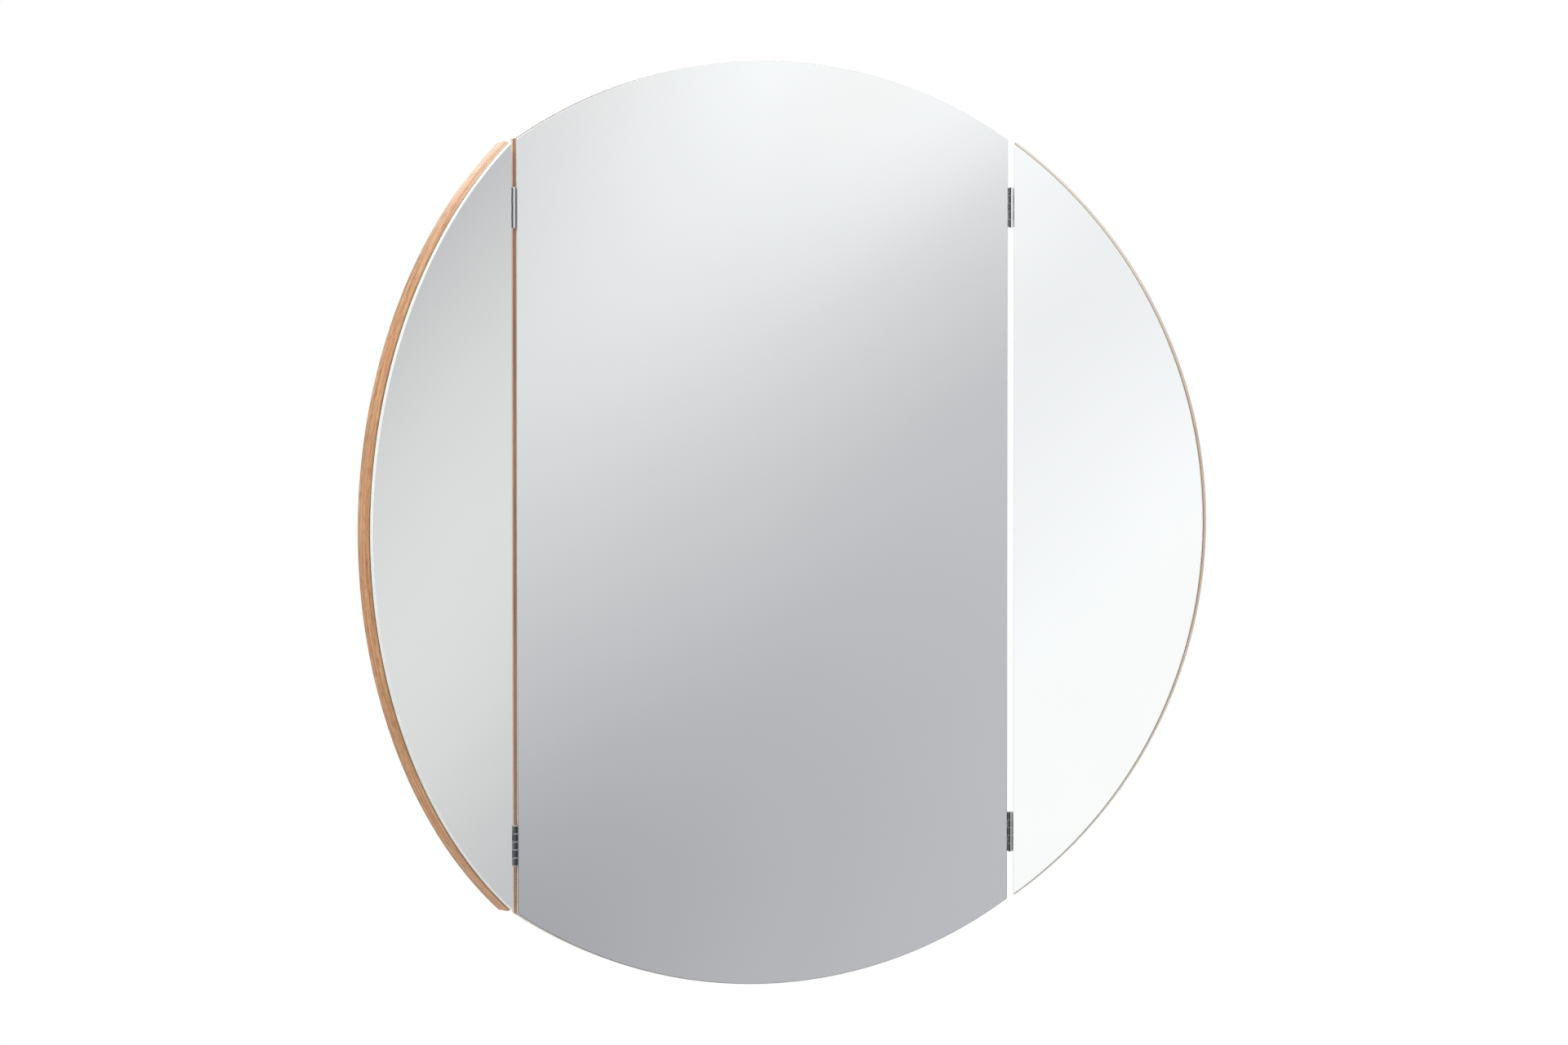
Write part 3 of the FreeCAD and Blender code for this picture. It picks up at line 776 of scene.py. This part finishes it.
# %% Foam tape
foam, tree, shader = new_finish("foam_tape")
place = object_place(tree)
cells = noise_on(tree, place, (1800, 1800, 1800), 2.0)
tone = ramp_of(tree, cells, [(0.35, srgb(206, 204, 196)), (0.65, srgb(232, 230, 224))])
tree.links.new(tone, shader.inputs["Base Color"])
tree.links.new(eased(tree, cells, 0.3, 0.7, 0.9, 0.75), shader.inputs["Roughness"])
bumped(tree, shader, cells, 0.3, 0.0002)
for name in ("center_mirror_tape", "left_wing_mirror_tape", "right_wing_mirror_tape"):
    nodes[name].material_slots[0].material = foam
print("finish:", foam.name)

# %% [markdown]
# ## The studio: white surroundings
# The photograph has a clean white ground. The world shows plain white to the camera, and to metal and
# glass, at strength 1, and lights everything else softly. A pale grey floor lies below the hanging
# mirror and keeps its shadow. Far out it fades to white, so that no edge of it shows. In the glass it
# fades less, and so the panes stay easy to tell from the ground when they are seen from above.

# %% White world
def looked_at(tree, in_metal=1.0):
    """One for rays that look at a surface, nothing for light's own rays, a share for metal's."""
    path = add_node(tree, "ShaderNodeLightPath", {}).outputs
    inputs = {0: path["Is Glossy Ray"], 1: in_metal, 2: path["Is Transmission Ray"]}
    indirect = add_node(tree, "ShaderNodeMath", inputs, operation="MULTIPLY_ADD").outputs[0]
    inputs = {0: path["Is Camera Ray"], 1: indirect}
    return add_node(tree, "ShaderNodeMath", inputs, operation="MAXIMUM").outputs[0]


world = bpy.data.worlds.new("white_studio")
world.use_nodes = True
bpy.context.scene.world = world
tree = world.node_tree
WORLD_LIGHT = 0.62
strength = add_node(tree, "ShaderNodeMapRange", {0: looked_at(tree), 3: WORLD_LIGHT, 4: 1.0}).outputs[0]
ground = tree.nodes["Background"]
ground.inputs["Color"].default_value = (1, 1, 1, 1)
tree.links.new(strength, ground.inputs["Strength"])
print("world light:", WORLD_LIGHT)

# %% Pale floor
FLOOR_HEIGHT = -0.75
FLOOR_RADIUS = 2.8
FLOOR_STEPS = 96
FLOOR_BOUNCE = (0.76, 0.75, 0.74, 1)
FADE_FROM = 1.0
FADE_FULL = 2.75
FADE_NEAR = 0.08
FADE_FAR = 0.5
FADE_IN_METAL = 0.3
bpy.ops.object.select_all(action="DESELECT")
bpy.ops.mesh.primitive_circle_add(
    vertices=FLOOR_STEPS, radius=FLOOR_RADIUS, fill_type="NGON", location=(0, 0, FLOOR_HEIGHT))
floor = start_piece("studio_floor")
end_piece()
pale, tree, shader = new_finish("pale_floor")
place = object_place(tree)
cloud = noise_on(tree, place, (3, 3, 3), 3.0)
tone = ramp_of(tree, cloud, [(0.3, (0.55, 0.55, 0.55)), (0.7, (0.57, 0.57, 0.57))])
tree.links.new(mixed(tree, looked_at(tree), FLOOR_BOUNCE, tone), shader.inputs["Base Color"])
shader.inputs["Roughness"].default_value = 0.9
middle = (0, 0, FLOOR_HEIGHT)
inputs = {0: place, 1: middle}
reach = add_node(tree, "ShaderNodeVectorMath", inputs, operation="DISTANCE").outputs["Value"]
fade = eased(tree, reach, FADE_FROM, FADE_FULL, FADE_NEAR, FADE_FAR)
inputs = {0: looked_at(tree, FADE_IN_METAL), 1: fade}
lift = add_node(tree, "ShaderNodeMath", inputs, operation="MULTIPLY").outputs[0]
shader.inputs["Emission Color"].default_value = (1, 1, 1, 1)
tree.links.new(lift, shader.inputs["Emission Strength"])
floor.data.materials.append(pale)
print("floor at", FLOOR_HEIGHT, "m")

# %% [markdown]
# ## The studio: what the mirror sees
# A mirror has no colour of its own: it shows the room. In the photograph each panel shows a soft grey
# sweep, from near white at the top of the middle panel to mid grey below. A wide round screen stands
# for that room. Only reflections see it, so it neither lights the object nor hides the white ground,
# and its greys change slowly with direction and height, as a lit studio wall does.

# %% Round screen with slow greys
SCREEN_RADIUS = 6.5
SCREEN_LOW = -3.0
SCREEN_HIGH = 5.0
SCREEN_STEPS = 180
bpy.ops.object.select_all(action="DESELECT")
bpy.ops.mesh.primitive_cylinder_add(
    vertices=SCREEN_STEPS, radius=SCREEN_RADIUS, depth=SCREEN_HIGH - SCREEN_LOW,
    end_fill_type="NOTHING", location=(0, 0, (SCREEN_HIGH + SCREEN_LOW) / 2))
screen = start_piece("studio_screen")
end_piece()
screen.visible_camera = False
screen.visible_diffuse = False
screen.visible_shadow = False
screen.visible_transmission = False
print("screen radius:", SCREEN_RADIUS, "m")


# %% Greys of one part of the screen
RED_SHARE = 0.99
DEEP_LEVEL = 0.75
DEEP_BLUE = 0.15
GREY_REACH = 2.5
LEAN_SPREAD = 5


def studio_grey(level, blue):
    """A grey with its own touch of blue, cooler where it is deep."""
    return level * RED_SHARE, level, level * (blue + DEEP_BLUE * max(0.0, DEEP_LEVEL - level))


def sector_greys(tree, angle, height, stops, blue, middle, lean):
    """Greys by height. The lean tips the sweep: metres of rise for each degree off the middle."""
    low, high = math.radians(middle - LEAN_SPREAD), math.radians(middle + LEAN_SPREAD)
    inputs = {0: angle, 1: low, 2: high, 3: LEAN_SPREAD * lean, 4: -LEAN_SPREAD * lean}
    tip = add_node(tree, "ShaderNodeMapRange", inputs).outputs[0]
    tipped = add_node(tree, "ShaderNodeMath", {0: height, 1: tip}, operation="ADD").outputs[0]
    share = add_node(tree, "ShaderNodeMapRange", {0: tipped, 1: -GREY_REACH, 2: GREY_REACH}).outputs[0]
    shares = []
    for level_height, level in stops:
        shares.append(((level_height + GREY_REACH) / (2 * GREY_REACH), studio_grey(level, blue)))
    return ramp_of(tree, share, shares, "CARDINAL")


print("deep studio grey:", [round(value, 3) for value in studio_grey(0.5, 1.008)])

# %% Greys by height in each direction: (metres, level)
REAR = [(-2.5, 1.0), (-1.4, 1.0), (-0.7, 0.4), (0.7, 0.4), (1.5, 1.0), (2.5, 1.0)]
BEHIND_LEFT = [(-2.5, 1.0), (2.5, 1.0)]
BEHIND_RIGHT = [(-2.5, 0.8), (1.5, 0.8), (2.1, 1.0), (2.5, 1.0)]
LEFT_SHADE = [
    (-2.5, 0.7), (-1.5, 0.7), (-1.0, 0.5), (-0.6, 0.4), (0.4, 0.42), (1.1, 0.6), (1.9, 0.95), (2.5, 1.0)]
RIGHT_SHADE = [
    (-2.5, 0.7), (-1.5, 0.7), (-1.0, 0.5), (-0.6, 0.4), (0.0, 0.45), (0.22, 0.82), (0.5, 0.9),
    (1.9, 0.95), (2.5, 1.0)]
LEFT_HAND = [(-2.0, 0.64), (-1.3, 0.94), (-0.6, 1.0), (0.0, 0.9), (0.4, 1.0), (0.8, 1.0)]
CAMERA_END = [
    (-2.5, 0.7), (-1.6, 0.7), (-1.2, 0.5), (-0.9, 0.4), (-0.45, 0.47), (0.0, 0.74), (0.2, 0.87),
    (0.6, 0.88), (1.5, 0.92), (2.2, 1.0)]
AHEAD_LEFT = [
    (-2.1, 0.72), (-1.6, 0.64), (-0.9, 0.4), (-0.4, 0.52), (0.2, 0.76), (0.7, 0.76), (2.0, 1.0)]
AHEAD_MIDDLE = [
    (-2.1, 0.74), (-1.7, 0.58), (-1.1, 0.48), (-0.5, 0.52), (0.0, 0.74), (0.4, 0.96), (0.8, 1.0)]
AHEAD_RIGHT = [
    (-2.1, 0.74), (-1.7, 0.6), (-1.3, 0.52), (-0.3, 0.58), (0.0, 0.76), (0.2, 0.98), (0.5, 1.0)]
RIGHT_HAND = [
    (-2.2, 0.7), (-1.7, 0.72), (-1.1, 0.56), (-0.5, 0.74), (0.0, 0.7), (0.4, 0.52), (0.8, 0.54),
    (2.0, 1.0)]
print("levels ahead:", len(AHEAD_LEFT), len(AHEAD_MIDDLE), len(AHEAD_RIGHT))

# %% The sectors, in degrees from the rear round by the left, the front and the right
COOL, GREEN = 1.008, 0.99
# Each sector: its greys, blue, middle and lean, then where it begins and where it is full
SECTORS = [
    ((BEHIND_LEFT, COOL, -110, 0.0), -140, -122),
    ((LEFT_SHADE, COOL, -60, 0.0), -98, -82),
    ((LEFT_HAND, COOL, -38.7, 0.114), -45, -41),
    ((CAMERA_END, COOL, -15, 0.0), -35, -31),
    ((AHEAD_LEFT, COOL, 17.57, 0.074), 4, 13),
    ((AHEAD_MIDDLE, COOL, 17.57, 0.074), 14, 17.57),
    ((AHEAD_RIGHT, COOL, 17.57, 0.074), 17.57, 21.2),
    ((CAMERA_END, COOL, 35, 0.0), 25, 30),
    ((RIGHT_SHADE, COOL, 55, 0.0), 44, 48),
    ((RIGHT_HAND, GREEN, 74.55, 0.138), 65, 71),
    ((BEHIND_RIGHT, COOL, 130, 0.0), 79, 100),
    ((REAR, COOL, 175, 0.0), 166, 178),
]
print("screen sectors:", len(SECTORS) + 1)

# %% Paint the screen
wall, tree, shader = new_finish("screen_greys")
tree.nodes.remove(shader)
axes = add_node(tree, "ShaderNodeSeparateXYZ", {0: object_place(tree)}).outputs
ahead = add_node(tree, "ShaderNodeMath", {0: axes[1], 1: -1.0}, operation="MULTIPLY").outputs[0]
angle = add_node(tree, "ShaderNodeMath", {0: axes[0], 1: ahead}, operation="ARCTAN2").outputs[0]
tone = sector_greys(tree, angle, axes[2], REAR, COOL, -160, 0.0)
for sector, begins, reaches in SECTORS:
    greys = sector_greys(tree, angle, axes[2], *sector)
    inputs = {0: angle, 1: math.radians(begins), 2: math.radians(reaches)}
    share = add_node(tree, "ShaderNodeMapRange", inputs).outputs[0]
    tone = mixed(tree, share, tone, greys)
glow = add_node(tree, "ShaderNodeEmission", {"Color": tone, "Strength": 1.0})
tree.links.new(glow.outputs[0], tree.nodes["Material Output"].inputs["Surface"])
screen.data.materials.append(wall)
print("finish:", wall.name)

# %% [markdown]
# ## The studio: soft lamps
# Big area lamps shape the edges. Two stand high on the left and in front on the right; two more hang
# behind and glance off the lacquer, so the upper end of the left rim turns pale while its lower end
# stays deep brown. Large lamps give soft shadows, and their power is low enough that a colour renders
# about as it was written.

# %% Soft lamps
def soft_lamp(name, place, size, power):
    """Square area lamp aimed at the middle of the mirror."""
    data = bpy.data.lights.new(name, "AREA")
    data.size = size
    data.energy = power
    lamp = bpy.data.objects.new(name, data)
    bpy.context.scene.collection.objects.link(lamp)
    lamp.location = place
    lamp.rotation_euler = (-Vector(place)).to_track_quat("-Z", "Y").to_euler()
    lamp.visible_camera = False
    return lamp


key = soft_lamp("key_softbox", (-2.0, -1.6, 2.6), 1.6, 50)
fill = soft_lamp("fill_softbox", (2.2, -3.2, 1.6), 2.0, 40)
glance = soft_lamp("glancing_softbox", (-0.1, 2.6, 1.7), 2.0, 24)
side_glance = soft_lamp("side_glancing_softbox", (-1.15, 1.85, 2.35), 1.4, 9)
key.visible_glossy = False
fill.visible_glossy = False
print("lamps:", key.name, fill.name, glance.name, side_glance.name)

# %% [markdown]
# ## Finish
# The view transform is Standard, so greys and browns come out as they were mixed.

bpy.context.scene.view_settings.view_transform = "Standard"
bpy.context.view_layer.update()
